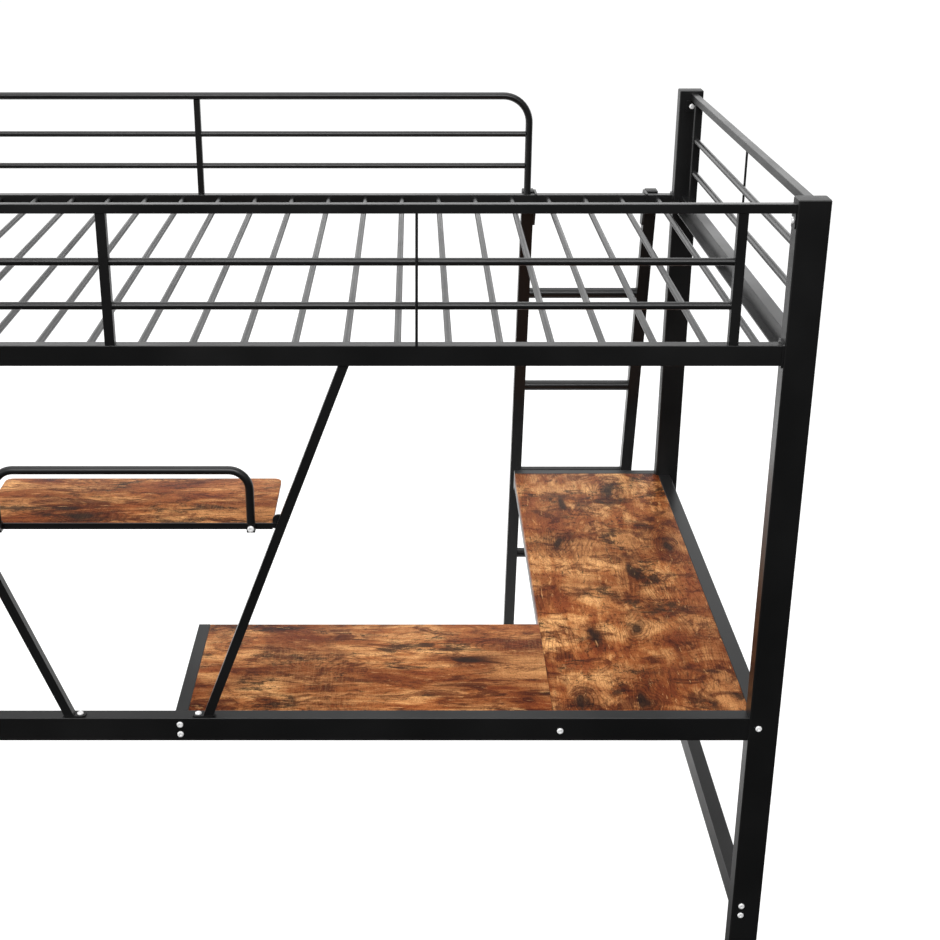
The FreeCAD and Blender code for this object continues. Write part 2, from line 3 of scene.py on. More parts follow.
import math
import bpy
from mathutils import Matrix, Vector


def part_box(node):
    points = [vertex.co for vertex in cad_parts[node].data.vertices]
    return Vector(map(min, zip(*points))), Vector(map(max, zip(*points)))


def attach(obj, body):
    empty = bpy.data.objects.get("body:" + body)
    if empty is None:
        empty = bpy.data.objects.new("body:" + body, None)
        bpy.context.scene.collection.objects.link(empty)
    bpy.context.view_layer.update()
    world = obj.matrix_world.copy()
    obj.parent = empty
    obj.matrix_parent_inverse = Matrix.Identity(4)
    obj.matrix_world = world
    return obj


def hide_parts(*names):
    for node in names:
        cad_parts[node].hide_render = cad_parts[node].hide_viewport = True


bl_info = {
    "name": "Loft bed with desk",
    "version": (1, 0, 0),
    "blender": (4, 5, 0),
    "location": "View3D > Sidebar > Loft bed",
    "description": "Finishes the steel frame, the boards, the bolts and the stage of a loft bed",
    "category": "Object",
}

import bmesh
import bpy
from bpy.props import FloatProperty, FloatVectorProperty, IntProperty, PointerProperty
from mathutils import Matrix, Vector

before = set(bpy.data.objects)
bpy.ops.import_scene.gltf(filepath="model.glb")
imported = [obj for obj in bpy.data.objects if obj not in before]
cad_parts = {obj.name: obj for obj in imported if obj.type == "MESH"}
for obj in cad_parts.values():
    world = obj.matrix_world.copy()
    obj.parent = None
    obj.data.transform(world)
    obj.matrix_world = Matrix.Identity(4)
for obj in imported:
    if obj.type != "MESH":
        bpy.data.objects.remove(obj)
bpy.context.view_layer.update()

BED = "bed"
WOOD_BOARDS = ("desk_board_front", "desk_board_side", "shelf_board")
PLASTIC_NODES = ("ladder_caps",)
BOLTS_NODE = "bolts"

# Metres within which two places count as the same.
NEAR = 0.00005
SAME_POINT = 0.00002
OVERLAP = 0.0005
# Degrees past which an edge stays sharp.
SHARP = 40

# How strongly each finish mirrors light.
COAT_SPECULAR = 0.38
WOOD_SPECULAR = 0.05
ZINC_METALLIC = 0.15

# Tints that darken the boards.
DRIFT_TINT = (0.52, 0.40, 0.34)
HALO_TINT = (0.42, 0.30, 0.25)
GRAIN_TINT = (0.36, 0.27, 0.22)
RING_TINT = (0.30, 0.22, 0.18)
STAIN_TINT = (0.30, 0.19, 0.155)
GRIT_TINT = (0.28, 0.21, 0.17)
# How much the red brown between the planks keeps of the main colour.
RED_SHARE = (0.62, 0.44, 0.40)

# Each light's name, the setting that holds its power, its size and its place.
LIGHTS = (
    ("top", "top_light", (5, 4), (0, 0.4, 4.4)),
    ("left", "side_light", (3, 3), (-4.6, 0.4, 2.4)),
    ("front", "front_light", (4, 2), (0.3, -5.0, 4.2)),
)
LIGHT_AIM = (0.3, 0, 0.9)
CAMERA_SENSOR = 36
CAMERA_REACH = 200
FLOOR_GREY = 0.42


class LoftBedSteel(bpy.types.PropertyGroup):
    """Powder-coated steel."""

    colour: FloatVectorProperty(
        name="Coat colour", description="Colour of the powder coat",
        subtype="COLOR", size=3, min=0, max=1, default=(0.0038, 0.0038, 0.0039),
    )
    roughness: FloatProperty(
        name="Roughness", description="Roughness of the coat",
        subtype="FACTOR", min=0, max=1, default=0.33,
    )
    grain: FloatProperty(
        name="Grain", description="Repeats per metre of the coat's orange peel",
        min=10, default=750,
    )
    grain_height: FloatProperty(
        name="Grain height", description="Height of the coat's orange peel",
        subtype="DISTANCE", min=0, default=0.00006, precision=6,
    )


class LoftBedWood(bpy.types.PropertyGroup):
    """Rustic brown laminate."""

    dark: FloatVectorProperty(
        name="Dark", description="Colour of knots and stains",
        subtype="COLOR", size=3, min=0, max=1, default=(0.018, 0.0080, 0.0042),
    )
    middle: FloatVectorProperty(
        name="Middle", description="Main colour",
        subtype="COLOR", size=3, min=0, max=1, default=(0.345, 0.118, 0.033),
    )
    light: FloatVectorProperty(
        name="Light", description="Colour of the worn streaks",
        subtype="COLOR", size=3, min=0, max=1, default=(0.80, 0.44, 0.175),
    )
    roughness: FloatProperty(
        name="Roughness", description="Roughness of the laminate",
        subtype="FACTOR", min=0, max=1, default=0.46,
    )
    edge: FloatProperty(
        name="Edge", description="Radius of the boards' edges",
        subtype="DISTANCE", min=0, default=0.0011, precision=4,
    )
    corner: FloatProperty(
        name="Shelf corner", description="Radius of the shelf's back corners",
        subtype="DISTANCE", min=0, default=0.012,
    )


class LoftBedBolts(bpy.types.PropertyGroup):
    """Bolt heads."""

    sides: IntProperty(
        name="Sides", description="Sides of a head's outline", min=12, default=32,
    )
    dome: FloatProperty(
        name="Dome", description="Rounding of a head's rim, as a share of its height",
        subtype="FACTOR", min=0, max=1, default=0.8,
    )
    socket: FloatProperty(
        name="Socket", description="Radius of the hexagon socket, as a share of the head's",
        subtype="FACTOR", min=0, max=1, default=0.42,
    )
    colour: FloatVectorProperty(
        name="Zinc colour", description="Colour of the plated steel",
        subtype="COLOR", size=3, min=0, max=1, default=(0.90, 0.90, 0.90),
    )


class LoftBedPlugs(bpy.types.PropertyGroup):
    """Plastic plugs in the tops of the posts."""

    height: FloatProperty(
        name="Height", description="Height of a plug above its post",
        subtype="DISTANCE", min=0.0005, default=0.0018, precision=4,
    )
    margin: FloatProperty(
        name="Margin", description="How far a plug's sides stay inside the post's",
        subtype="DISTANCE", min=0, default=0.0006, precision=4,
    )
    corner: FloatProperty(
        name="Corner", description="Radius of a plug's upright corners",
        subtype="DISTANCE", min=0, default=0.0022, precision=4,
    )


class LoftBedStage(bpy.types.PropertyGroup):
    """Floor, lights and camera."""

    floor_size: FloatProperty(
        name="Floor", description="Length of the floor's sides",
        subtype="DISTANCE", min=1, default=60,
    )
    eye: FloatVectorProperty(
        name="Camera", description="Place of the camera",
        subtype="XYZ", unit="LENGTH", size=3, default=(0.4262, -2.8108, 1.9062),
    )
    tilt: FloatProperty(
        name="Tilt", description="Downward tilt of the camera",
        subtype="ANGLE", default=math.radians(22.775),
    )
    lens: FloatProperty(
        name="Lens", description="Focal length in millimetres", min=1, default=60.55,
    )
    shift_x: FloatProperty(name="Shift X", description="Sideways shift of the view", default=0.0605)
    shift_y: FloatProperty(name="Shift Y", description="Upward shift of the view", default=0.0398)
    top_light: FloatProperty(
        name="Top light", description="Power of the light above the bed",
        unit="POWER", min=0, default=150,
    )
    side_light: FloatProperty(
        name="Side light", description="Power of the light at the left",
        unit="POWER", min=0, default=110,
    )
    front_light: FloatProperty(
        name="Front light", description="Power of the light high in front",
        unit="POWER", min=0, default=260,
    )
    sky: FloatProperty(
        name="Sky", description="Strength of the light all round", min=0, default=1.0,
    )
    floor_glow: FloatProperty(
        name="Floor glow", description="How much the floor is brightened to the eye",
        min=0, default=0.76,
    )


def look(name):
    """The settings of one group of pieces."""
    return getattr(bpy.context.scene, name)


def link(material, start, end):
    material.node_tree.links.new(start, end)


def add_node(material, kind, **values):
    node = material.node_tree.nodes.new(kind)
    for key, value in values.items():
        setattr(node, key, value)
    return node


def set_inputs(node, **values):
    for key, value in values.items():
        node.inputs[key.replace("_", " ")].default_value = value


def new_material(name):
    material = bpy.data.materials.new(name)
    material.use_nodes = True
    return material, material.node_tree.nodes["Principled BSDF"]


def object_coordinates(material, offset=(0, 0, 0), scale=(1, 1, 1), along_y=False):
    """Object coordinates, moved and stretched for one piece; its grain runs along X or Y."""
    coordinates = add_node(material, "ShaderNodeTexCoord")
    mapping = add_node(material, "ShaderNodeMapping")
    mapping.inputs["Location"].default_value = offset
    mapping.inputs["Scale"].default_value = (scale[1], scale[0], scale[2]) if along_y else scale
    link(material, coordinates.outputs["Object"], mapping.inputs["Vector"])
    return mapping.outputs["Vector"]


def noise(material, vector, scale, detail=4, roughness=0.5, distortion=0):
    node = add_node(material, "ShaderNodeTexNoise")
    set_inputs(node, Scale=scale, Detail=detail, Roughness=roughness, Distortion=distortion)
    link(material, vector, node.inputs["Vector"])
    return node.outputs["Fac"]


def ramp(material, value, stops):
    """Colours a value; stops are pairs of place and colour."""
    node = add_node(material, "ShaderNodeValToRGB")
    elements = node.color_ramp.elements
    stops = sorted(stops, key=lambda stop: stop[0])
    while len(elements) < len(stops):
        elements.new(0.5)
    for element, (place, colour) in zip(elements, stops):
        element.position = place
        element.color = (*colour, 1) if len(colour) == 3 else colour
    link(material, value, node.inputs["Fac"])
    return node.outputs["Color"]


def grey_ramp(material, value, stops):
    return ramp(material, value, [(place, (grey, grey, grey)) for place, grey in stops])


def mix(material, kind, factor, first, second):
    """Mixes two colours; each may be a number, a colour or a node's output."""
    node = add_node(material, "ShaderNodeMix", data_type="RGBA", blend_type=kind)
    for given, socket in ((factor, node.inputs[0]), (first, node.inputs[6]), (second, node.inputs[7])):
        if isinstance(given, (int, float)):
            socket.default_value = given
        elif isinstance(given, tuple):
            socket.default_value = (*given, 1)
        else:
            link(material, given, socket)
    return node.outputs[2]


def add_bump(material, shader, height, distance, strength=1.0):
    node = add_node(material, "ShaderNodeBump")
    set_inputs(node, Strength=strength, Distance=distance)
    link(material, height, node.inputs["Height"])
    link(material, node.outputs["Normal"], shader.inputs["Normal"])


def powder_coat():
    """Black powder coat with a faint orange peel."""
    settings = look("loft_bed_steel")
    material, shader = new_material("black_powder_coat")
    vector = object_coordinates(material)
    coarse = noise(material, vector, 6, 3)
    peel = noise(material, vector, settings.grain, 2)
    dark = tuple(settings.colour)
    faded = tuple(c * 1.35 + 0.001 for c in dark)
    colour = ramp(material, coarse, [(0.35, dark), (0.75, faded)])
    rough = grey_ramp(material, coarse, [(0.3, settings.roughness - 0.04), (0.75, settings.roughness + 0.06)])
    link(material, colour, shader.inputs["Base Color"])
    link(material, rough, shader.inputs["Roughness"])
    shader.inputs["Specular IOR Level"].default_value = COAT_SPECULAR
    add_bump(material, shader, peel, settings.grain_height, 0.35)
    return material


def black_plastic():
    """Moulded plastic with a fine speckle."""
    material, shader = new_material("black_plastic")
    vector = object_coordinates(material)
    speckle = noise(material, vector, 1400, 2)
    colour = ramp(material, speckle, [(0.35, (0.014, 0.014, 0.014)), (0.7, (0.024, 0.024, 0.024))])
    link(material, colour, shader.inputs["Base Color"])
    set_inputs(shader, Roughness=0.55)
    add_bump(material, shader, speckle, 0.00008, 0.5)
    return material


def zinc_plate():
    """Bright plated steel, a little cloudy."""
    settings = look("loft_bed_bolts")
    material, shader = new_material("zinc_plate")
    vector = object_coordinates(material)
    cloud = noise(material, vector, 260, 4)
    bright = tuple(settings.colour)
    dull = tuple(c * 0.8 for c in bright)
    link(material, ramp(material, cloud, [(0.35, dull), (0.65, bright)]), shader.inputs["Base Color"])
    link(material, grey_ramp(material, cloud, [(0.3, 0.28), (0.7, 0.42)]), shader.inputs["Roughness"])
    set_inputs(shader, Metallic=ZINC_METALLIC)
    return material


def step(material, value, low, high):
    """Black below low, white above high."""
    return grey_ramp(material, value, [(low, 0.0), (high, 1.0)])


def times(material, value, number):
    node = add_node(material, "ShaderNodeMath", operation="MULTIPLY")
    node.inputs[1].default_value = number
    link(material, value, node.inputs[0])
    return node.outputs[0]


def shade_by(material, colour, mask, tint, amount):
    """Multiplies colour by tint where mask is white."""
    return mix(material, "MULTIPLY", times(material, mask, amount), colour, tint)


def lay_by(material, colour, mask, paint, amount):
    """Lays paint over colour where mask is white."""
    return mix(material, "MIX", times(material, mask, amount), colour, paint)


def both(material, first, second):
    """White where both masks are."""
    node = add_node(material, "ShaderNodeMath", operation="MULTIPLY")
    link(material, first, node.inputs[0])
    link(material, second, node.inputs[1])
    return node.outputs[0]


def warped(material, vector, scale, amount):
    """Vector pushed about by soft noise."""
    push = add_node(material, "ShaderNodeTexNoise")
    set_inputs(push, Scale=scale, Detail=2)
    link(material, vector, push.inputs["Vector"])
    node = add_node(material, "ShaderNodeMix", data_type="VECTOR")
    node.inputs[0].default_value = amount
    link(material, vector, node.inputs[4])
    link(material, push.outputs["Color"], node.inputs[5])
    return node.outputs[1]


def ring_lines(material, distance, turns, low, high):
    """Thin lines round a centre."""
    wave = add_node(material, "ShaderNodeMath", operation="SINE")
    link(material, times(material, distance, turns), wave.inputs[0])
    return step(material, wave.outputs[0], low, high)


def wood_paints():
    """Dark, main and light colour of the boards."""
    settings = look("loft_bed_wood")
    return tuple(settings.dark), tuple(settings.middle), tuple(settings.light)


def wood_ground(material, patchy, fine, plain):
    """Clouds of red brown, brown and tan, with wide darker drifts."""
    _, middle, light = wood_paints()
    red = tuple(part * share for part, share in zip(middle, RED_SHARE))
    warm = tuple((a + b) * 0.5 for a, b in zip(middle, light))
    cloud = noise(material, patchy, 5.0, 6, 0.60, 0.8)
    streak = noise(material, fine, 6.0, 8, 0.70, 0.5)
    blend = mix(material, "MIX", 0.42, cloud, streak)
    colour = ramp(material, blend, [(0.42, red), (0.49, middle), (0.55, warm), (0.62, light)])
    drift = noise(material, plain, 4.2, 3, 0.55, 0.6)
    return shade_by(material, colour, step(material, drift, 0.56, 0.45), DRIFT_TINT, 0.80)


def wood_stains(material, colour, patchy, plain):
    """Brown blotches and ragged black stains."""
    dark, _, _ = wood_paints()
    blotch = noise(material, patchy, 11.0, 9, 0.72, 0.8)
    colour = shade_by(material, colour, step(material, blotch, 0.51, 0.58), STAIN_TINT, 0.90)
    ragged = noise(material, patchy, 10.0, 12, 0.80, 0.4)
    near = noise(material, plain, 8.0, 2, 0.5)
    char = both(material, step(material, ragged, 0.525, 0.565), step(material, near, 0.49, 0.55))
    return lay_by(material, colour, char, dark, 0.86)


def wood_knots(material, colour, along):
    """Knots with a dark heart and a halo, and sets of rings."""
    dark, _, _ = wood_paints()
    cells = add_node(material, "ShaderNodeTexVoronoi", voronoi_dimensions="2D")
    set_inputs(cells, Scale=3.6, Randomness=1.0)
    link(material, warped(material, along, 8.0, 0.12), cells.inputs["Vector"])
    distance = cells.outputs["Distance"]
    kind = add_node(material, "ShaderNodeSeparateColor")
    link(material, cells.outputs["Color"], kind.inputs[0])
    has_knot = step(material, kind.outputs[0], 0.34, 0.38)
    has_rings = step(material, kind.outputs[1], 0.40, 0.44)
    heart = both(material, step(material, distance, 0.105, 0.045), has_knot)
    halo = both(material, step(material, distance, 0.26, 0.07), has_knot)
    colour = shade_by(material, colour, halo, HALO_TINT, 0.80)
    colour = lay_by(material, colour, heart, dark, 0.90)
    fading = both(material, step(material, distance, 0.46, 0.16), has_rings)
    rings = both(material, ring_lines(material, distance, 150, 0.10, 0.85), fading)
    return shade_by(material, colour, rings, RING_TINT, 0.62)


def wood_grain(material, colour, plain, along, fine):
    """Patches of flowing grain lines, and thin dark cracks."""
    dark, _, _ = wood_paints()
    flow = noise(material, fine, 2.6, 2, 0.45, 0.5)
    zone = step(material, noise(material, plain, 7.5, 3, 0.55), 0.46, 0.56)
    grain = both(material, ring_lines(material, flow, 130, 0.25, 0.95), zone)
    colour = shade_by(material, colour, grain, GRAIN_TINT, 0.55)
    split = noise(material, fine, 4.4, 5, 0.62, 0.9)
    zone = step(material, noise(material, along, 9.0, 3, 0.6), 0.50, 0.57)
    crack = both(material, step(material, split, 0.500, 0.506), step(material, split, 0.514, 0.508))
    return lay_by(material, colour, both(material, crack, zone), dark, 0.90)


def wood_flecks(material, colour, fine):
    """Small dark and light flecks along the grain."""
    dark, _, light = wood_paints()
    flecks = noise(material, fine, 21.0, 8, 0.72, 0.3)
    colour = lay_by(material, colour, step(material, flecks, 0.600, 0.640), dark, 0.78)
    return lay_by(material, colour, step(material, flecks, 0.400, 0.355), light, 0.45)


def wood_saw_marks(material, colour, saw_space, plain):
    """Faint light marks across the grain."""
    _, _, light = wood_paints()
    saw = noise(material, saw_space, 24.0, 3, 0.7)
    zone = step(material, noise(material, plain, 5.5, 2, 0.5), 0.48, 0.60)
    marks = both(material, step(material, saw, 0.47, 0.60), zone)
    return mix(material, "SCREEN", times(material, marks, 0.07), colour, light)


def rustic_wood(name, offset, along_y):
    """Worn brown planks, with stains, knots, grain, cracks and saw marks, for one board."""
    settings = look("loft_bed_wood")
    material, shader = new_material(name)
    plain = object_coordinates(material, offset, (1, 1, 1), along_y)
    along = object_coordinates(material, offset, (1.0, 2.6, 2.6), along_y)
    patchy = object_coordinates(material, offset, (2.0, 1.55, 1.55), True) if along_y else along
    fine = object_coordinates(material, offset, (1.0, 6.0, 6.0), along_y)
    pore_space = object_coordinates(material, offset, (1.0, 7.0, 7.0), along_y)
    saw_space = object_coordinates(material, offset, (22.0, 1.0, 1.0), along_y)

    colour = wood_ground(material, patchy, fine, plain)
    colour = wood_stains(material, colour, patchy, plain)
    colour = wood_knots(material, colour, along)
    colour = wood_grain(material, colour, plain, along, fine)
    colour = wood_flecks(material, colour, fine)
    pores = noise(material, pore_space, 70.0, 6, 0.75)
    colour = shade_by(material, colour, step(material, pores, 0.50, 0.38), GRAIN_TINT, 0.62)
    colour = wood_saw_marks(material, colour, saw_space, plain)
    grit = noise(material, plain, 360.0, 3, 0.7)
    colour = shade_by(material, colour, step(material, grit, 0.50, 0.36), GRIT_TINT, 0.60)

    link(material, colour, shader.inputs["Base Color"])
    rough = grey_ramp(material, pores, [(0.3, settings.roughness + 0.10), (0.6, settings.roughness - 0.04)])
    link(material, rough, shader.inputs["Roughness"])
    shader.inputs["Specular IOR Level"].default_value = WOOD_SPECULAR
    add_bump(material, shader, pores, 0.0003, 0.4)
    return material


def dress(piece, material):
    """Gives a piece one material."""
    piece.data.materials.clear()
    piece.data.materials.append(material)


def clear_selection():
    """Leaves edit mode and deselects every piece."""
    if bpy.context.mode != "OBJECT":
        bpy.ops.object.mode_set(mode="OBJECT")
    bpy.ops.object.select_all(action="DESELECT")


def select_only(piece):
    clear_selection()
    piece.select_set(True)
    bpy.context.view_layer.objects.active = piece


def settle(piece):
    """Puts a piece's place, turn and scale into its mesh."""
    select_only(piece)
    bpy.ops.object.transform_apply(location=True, rotation=True, scale=True)


def pick_edges(piece, wanted):
    """Selects the edges that wanted(middle, direction) accepts, in edit mode."""
    bpy.ops.mesh.select_mode(type="EDGE")
    bpy.ops.mesh.select_all(action="DESELECT")
    mesh = bmesh.from_edit_mesh(piece.data)
    for edge in mesh.edges:
        a, b = edge.verts[0].co, edge.verts[1].co
        edge.select_set(wanted((a + b) / 2, (b - a).normalized()))
    bmesh.update_edit_mesh(piece.data)


def smooth(piece):
    select_only(piece)
    bpy.ops.object.shade_smooth_by_angle(angle=math.radians(SHARP))


def add_block(low, high):
    """A box between two corners, with its place in its mesh."""
    clear_selection()
    bpy.ops.mesh.primitive_cube_add(size=1, location=(low + high) / 2, scale=high - low)
    block = bpy.context.active_object
    settle(block)
    return block


def cut_out(piece, cutter):
    """Takes the cutter's shape out of a piece and removes the cutter."""
    select_only(piece)
    cut = piece.modifiers.new("cut", "BOOLEAN")
    cut.operation = "DIFFERENCE"
    cut.solver = "EXACT"
    cut.object = cutter
    bpy.ops.object.modifier_apply(modifier=cut.name)
    bpy.data.objects.remove(cutter)


def notch_for_posts(board, low, high):
    """Takes the corners that would stand inside a post out of a board."""
    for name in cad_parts:
        if not name.startswith("post_"):
            continue
        post_low, post_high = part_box(name)
        if all(post_low[i] < high[i] - OVERLAP and post_high[i] > low[i] + OVERLAP for i in range(3)):
            cut_out(board, add_block(post_low, post_high))


def add_board(node, corner):
    """A board in the place of a CAD board: rounded edges and, where asked, round back corners."""
    low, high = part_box(node)
    settings = look("loft_bed_wood")
    board = add_block(low, high)
    board.name = node + "_laminate"
    notch_for_posts(board, low, high)
    bpy.ops.object.mode_set(mode="EDIT")
    if corner:
        middle_y = (low.y + high.y) / 2
        pick_edges(board, lambda at, way: abs(way.z) > 0.9 and at.y > middle_y)
        bpy.ops.mesh.bevel(offset=corner, segments=8, affect="EDGES")
    pick_edges(board, lambda at, way: at.z > high.z - 2 * NEAR or at.z < low.z + 2 * NEAR)
    bpy.ops.mesh.bevel(offset=settings.edge, segments=3, affect="EDGES")
    bpy.ops.object.mode_set(mode="OBJECT")
    smooth(board)
    return board


class LOFTBED_OT_boards(bpy.types.Operator):
    """Make the two desk boards and the shelf board"""

    bl_idname = "loft_bed.boards"
    bl_label = "Boards"

    def execute(self, context):
        corners = (0, 0, look("loft_bed_wood").corner)
        offsets = ((0.35, 0.9, 0.0), (2.1, 3.3, 0.4), (4.7, 0.2, 1.3))
        lengthwise = (False, True, False)
        for node, corner, offset, along_y in zip(WOOD_BOARDS, corners, offsets, lengthwise):
            board = add_board(node, corner)
            dress(board, rustic_wood("rustic_" + node, offset, along_y))
            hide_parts(node)
            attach(board, BED)
        return {"FINISHED"}


def islands(mesh):
    """The points of each separate lump of a mesh, as lists."""
    seen = set()
    for start in mesh.verts:
        if start.index in seen:
            continue
        stack, points = [start], []
        seen.add(start.index)
        while stack:
            vertex = stack.pop()
            points.append(vertex.co.copy())
            for edge in vertex.link_edges:
                other = edge.other_vert(vertex)
                if other.index not in seen:
                    seen.add(other.index)
                    stack.append(other)
        yield points


def head_place(points):
    """Seat, outward direction, radius and height of one bolt head, whose seat is its wider end."""
    low = Vector(min(p[i] for p in points) for i in range(3))
    high = Vector(max(p[i] for p in points) for i in range(3))
    size = high - low
    axis = min(range(3), key=lambda i: size[i])
    across = (axis + 1) % 3
    centre = (low + high) / 2
    spread = [0.0, 0.0]
    for side, face in enumerate((low[axis], high[axis])):
        for p in points:
            if abs(p[axis] - face) < size[axis] * 0.1:
                spread[side] = max(spread[side], abs(p[across] - centre[across]))
    out = Vector((0, 0, 0))
    out[axis] = 1 if spread[0] > spread[1] else -1
    seat = centre.copy()
    seat[axis] = low[axis] if out[axis] > 0 else high[axis]
    return seat, out, size[across] / 2, size[axis]


def head_places():
    """The place of every CAD bolt head."""
    mesh = bmesh.new()
    mesh.from_mesh(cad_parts[BOLTS_NODE].data)
    bmesh.ops.remove_doubles(mesh, verts=mesh.verts, dist=SAME_POINT)
    mesh.verts.ensure_lookup_table()
    places = [head_place(points) for points in islands(mesh)]
    mesh.free()
    return places


def add_head(radius, height):
    """One bolt head standing on the origin: a domed button with a hexagon socket."""
    settings = look("loft_bed_bolts")
    clear_selection()
    bpy.ops.mesh.primitive_cylinder_add(
        vertices=settings.sides, radius=radius, depth=height, location=(0, 0, height / 2))
    head = bpy.context.active_object
    settle(head)
    bpy.ops.object.mode_set(mode="EDIT")
    pick_edges(head, lambda at, way: at.z > height * 0.99)
    bpy.ops.mesh.bevel(offset=height * settings.dome, segments=5, affect="EDGES", profile=0.55)
    bpy.ops.object.mode_set(mode="OBJECT")
    clear_selection()
    bpy.ops.mesh.primitive_cylinder_add(
        vertices=6, radius=radius * settings.socket, depth=height, location=(0, 0, height))
    cutter = bpy.context.active_object
    settle(cutter)
    cut_out(head, cutter)
    return head


class LOFTBED_OT_bolts(bpy.types.Operator):
    """Make the bolt heads where the CAD has them"""

    bl_idname = "loft_bed.bolts"
    bl_label = "Bolt heads"

    def execute(self, context):
        places = head_places()
        if not places:
            raise RuntimeError("the frame has no bolt heads")
        radius, height = places[0][2], places[0][3]
        first = add_head(radius, height)
        heads = []
        for seat, out, _, _ in places:
            turn = Vector((0, 0, 1)).rotation_difference(out).to_matrix().to_4x4()
            head = first.copy()
            head.data = first.data.copy()
            head.data.transform(Matrix.Translation(seat) @ turn)
            bpy.context.scene.collection.objects.link(head)
            heads.append(head)
        bpy.data.objects.remove(first)
        clear_selection()
        for head in heads:
            head.select_set(True)
        bpy.context.view_layer.objects.active = heads[0]
        bpy.ops.object.join()
        piece = bpy.context.active_object
        piece.name = "bolt_heads"
        smooth(piece)
        dress(piece, zinc_plate())
        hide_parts(BOLTS_NODE)
        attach(piece, BED)
        return {"FINISHED"}


def add_plug(node):
    """Flat plug on a post's top: rounded corners and a rounded rim."""
    settings = look("loft_bed_plugs")
    low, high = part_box(node)
    inset = Vector((settings.margin, settings.margin, 0))
    top = high.z + settings.height
    plug = add_block(Vector((low.x, low.y, high.z)) + inset, Vector((high.x, high.y, top)) - inset)
    plug.name = node + "_plug"
    bpy.ops.object.mode_set(mode="EDIT")
    pick_edges(plug, lambda at, way: abs(way.z) > 0.9)
    bpy.ops.mesh.bevel(offset=settings.corner, segments=4, affect="EDGES")
    pick_edges(plug, lambda at, way: at.z > top - NEAR)
    bpy.ops.mesh.bevel(offset=settings.height * 0.5, segments=3, affect="EDGES")
    bpy.ops.object.mode_set(mode="OBJECT")
    smooth(plug)
    return plug


class LOFTBED_OT_plugs(bpy.types.Operator):
    """Make the plastic plugs in the tops of the four posts"""

    bl_idname = "loft_bed.plugs"
    bl_label = "Post plugs"

    def execute(self, context):
        posts = [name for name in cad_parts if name.startswith("post_")]
        if len(posts) != 4:
            raise RuntimeError("the frame has not got four posts")
        plastic = bpy.data.materials.get("black_plastic") or black_plastic()
        for name in posts:
            plug = add_plug(name)
            dress(plug, plastic)
            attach(plug, BED)
        return {"FINISHED"}


class LOFTBED_OT_steel(bpy.types.Operator):
    """Give the CAD's steel and plastic pieces their finishes"""

    bl_idname = "loft_bed.steel"
    bl_label = "Steel and plastic"

    def execute(self, context):
        coat = powder_coat()
        plastic = black_plastic()
        for name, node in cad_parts.items():
            if name in WOOD_BOARDS or name == BOLTS_NODE:
                continue
            dress(node, plastic if name in PLASTIC_NODES else coat)
        return {"FINISHED"}


def add_light(name, power, size, place):
    """A soft square light that points at the bed."""
    data = bpy.data.lights.new(name, "AREA")
    data.shape = "RECTANGLE"
    data.size, data.size_y = size
    data.energy = power
    light = bpy.data.objects.new(name, data)
    light.location = place
    light.rotation_euler = (Vector(LIGHT_AIM) - Vector(place)).to_track_quat("-Z", "Y").to_euler()
    bpy.context.scene.collection.objects.link(light)


def set_world():
    """Even studio light: bright above, behind and at the left, dim low in front, and white to the eye."""
    world = bpy.data.worlds.new("studio")
    world.use_nodes = True
    tree = world.node_tree
    background = tree.nodes["Background"]
    coordinates = tree.nodes.new("ShaderNodeTexCoord")
    split = tree.nodes.new("ShaderNodeSeparateXYZ")
    tree.links.new(coordinates.outputs["Generated"], split.inputs[0])

    def shade(axis, low, high, at_low, at_high):
        node = tree.nodes.new("ShaderNodeMapRange")
        node.interpolation_type = "SMOOTHSTEP"
        for name, number in (("From Min", low), ("From Max", high), ("To Min", at_low), ("To Max", at_high)):
            node.inputs[name].default_value = number
        tree.links.new(split.outputs[axis], node.inputs["Value"])
        return node.outputs[0]

    def combine(operation, first, second):
        node = tree.nodes.new("ShaderNodeMath")
        node.operation = operation
        tree.links.new(first, node.inputs[0])
        tree.links.new(second, node.inputs[1])
        return node.outputs[0]

    overhead = shade("Z", 0.10, 0.75, 0.10, 0.56)
    behind = combine("MULTIPLY", shade("Y", -0.30, 0.30, 0.0, 1.0), shade("Z", 0.14, 0.48, 2.0, 0.28))
    left = combine("MULTIPLY", shade("X", -0.25, -0.75, 0.0, 1.0), shade("Z", 0.35, 0.65, 1.9, 0.5))
    result = combine("MAXIMUM", combine("MAXIMUM", overhead, behind), left)
    path = tree.nodes.new("ShaderNodeLightPath")
    result = combine("MAXIMUM", result, path.outputs["Is Camera Ray"])
    tree.links.new(result, background.inputs["Color"])
    background.inputs["Strength"].default_value = look("loft_bed_stage").sky
    bpy.context.scene.world = world


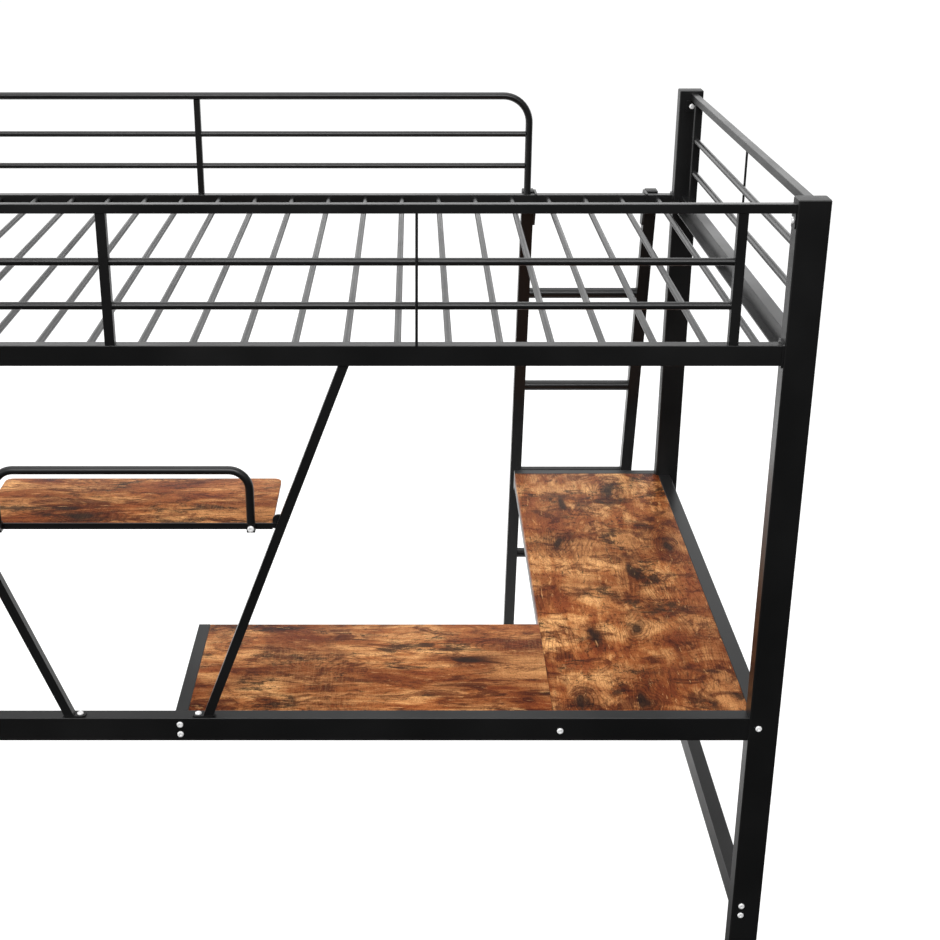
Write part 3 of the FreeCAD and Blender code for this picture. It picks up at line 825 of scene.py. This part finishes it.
def floor_material():
    """White to the eye, and dark in front of the bed to what the steel mirrors."""
    material, shader = new_material("pale_floor")
    set_inputs(shader, Roughness=1.0)
    shader.inputs["Base Color"].default_value = (FLOOR_GREY, FLOOR_GREY, FLOOR_GREY, 1)
    shader.inputs["Specular IOR Level"].default_value = 0
    shader.inputs["Emission Color"].default_value = (1, 1, 1, 1)
    shader.inputs["Emission Strength"].default_value = look("loft_bed_stage").floor_glow
    split = add_node(material, "ShaderNodeSeparateXYZ")
    coordinates = add_node(material, "ShaderNodeTexCoord")
    link(material, coordinates.outputs["Object"], split.inputs[0])
    share = add_node(material, "ShaderNodeMapRange", interpolation_type="SMOOTHSTEP")
    set_inputs(share, From_Min=-0.8, From_Max=0.9, To_Min=0.03, To_Max=0.95)
    link(material, split.outputs["Y"], share.inputs["Value"])
    mirrored = add_node(material, "ShaderNodeBsdfDiffuse")
    link(material, share.outputs[0], mirrored.inputs["Color"])
    path = add_node(material, "ShaderNodeLightPath")
    chosen = add_node(material, "ShaderNodeMixShader")
    link(material, path.outputs["Is Camera Ray"], chosen.inputs[0])
    link(material, mirrored.outputs[0], chosen.inputs[1])
    link(material, shader.outputs[0], chosen.inputs[2])
    link(material, chosen.outputs[0], material.node_tree.nodes["Material Output"].inputs["Surface"])
    return material


class LOFTBED_OT_stage(bpy.types.Operator):
    """Make the floor, the lights and the camera"""

    bl_idname = "loft_bed.stage"
    bl_label = "Stage"

    def execute(self, context):
        settings = look("loft_bed_stage")
        clear_selection()
        bpy.ops.mesh.primitive_plane_add(size=settings.floor_size)
        floor = bpy.context.active_object
        floor.name = "floor"
        dress(floor, floor_material())
        set_world()
        for name, power, size, place in LIGHTS:
            add_light(name, getattr(settings, power), size, place)
        camera = bpy.data.objects.new("camera", bpy.data.cameras.new("camera"))
        camera.location = settings.eye
        camera.rotation_euler = (math.radians(90) - settings.tilt, 0, 0)
        camera.data.sensor_width = CAMERA_SENSOR
        camera.data.lens = settings.lens
        camera.data.shift_x = settings.shift_x
        camera.data.shift_y = settings.shift_y
        camera.data.clip_end = CAMERA_REACH
        bpy.context.scene.collection.objects.link(camera)
        bpy.context.scene.camera = camera
        bpy.context.scene.view_settings.view_transform = "Standard"
        return {"FINISHED"}


class LOFTBED_PT_panel(bpy.types.Panel):
    """Buttons for each group of pieces, and their sizes and colours."""

    bl_idname = "LOFTBED_PT_panel"
    bl_label = "Loft bed"
    bl_space_type = "VIEW_3D"
    bl_region_type = "UI"
    bl_category = "Loft bed"

    def draw(self, context):
        for operator, group in STEPS:
            box = self.layout.box()
            box.operator(operator.bl_idname)
            settings = getattr(context.scene, group)
            for name in settings.bl_rna.properties.keys():
                if name not in ("rna_type", "name"):
                    box.prop(settings, name)


STEPS = (
    (LOFTBED_OT_steel, "loft_bed_steel"),
    (LOFTBED_OT_boards, "loft_bed_wood"),
    (LOFTBED_OT_bolts, "loft_bed_bolts"),
    (LOFTBED_OT_plugs, "loft_bed_plugs"),
    (LOFTBED_OT_stage, "loft_bed_stage"),
)
GROUPS = {
    "loft_bed_steel": LoftBedSteel,
    "loft_bed_wood": LoftBedWood,
    "loft_bed_bolts": LoftBedBolts,
    "loft_bed_plugs": LoftBedPlugs,
    "loft_bed_stage": LoftBedStage,
}
CLASSES = (*GROUPS.values(), *(operator for operator, _ in STEPS), LOFTBED_PT_panel)


def register():
    for cls in CLASSES:
        bpy.utils.register_class(cls)
    for name, group in GROUPS.items():
        setattr(bpy.types.Scene, name, PointerProperty(type=group))


def unregister():
    for name in GROUPS:
        delattr(bpy.types.Scene, name)
    for cls in reversed(CLASSES):
        bpy.utils.unregister_class(cls)


def main():
    register()
    bpy.ops.loft_bed.steel()
    bpy.ops.loft_bed.boards()
    bpy.ops.loft_bed.bolts()
    bpy.ops.loft_bed.plugs()
    bpy.ops.loft_bed.stage()
    clear_selection()


if __name__ == "__main__":
    main()
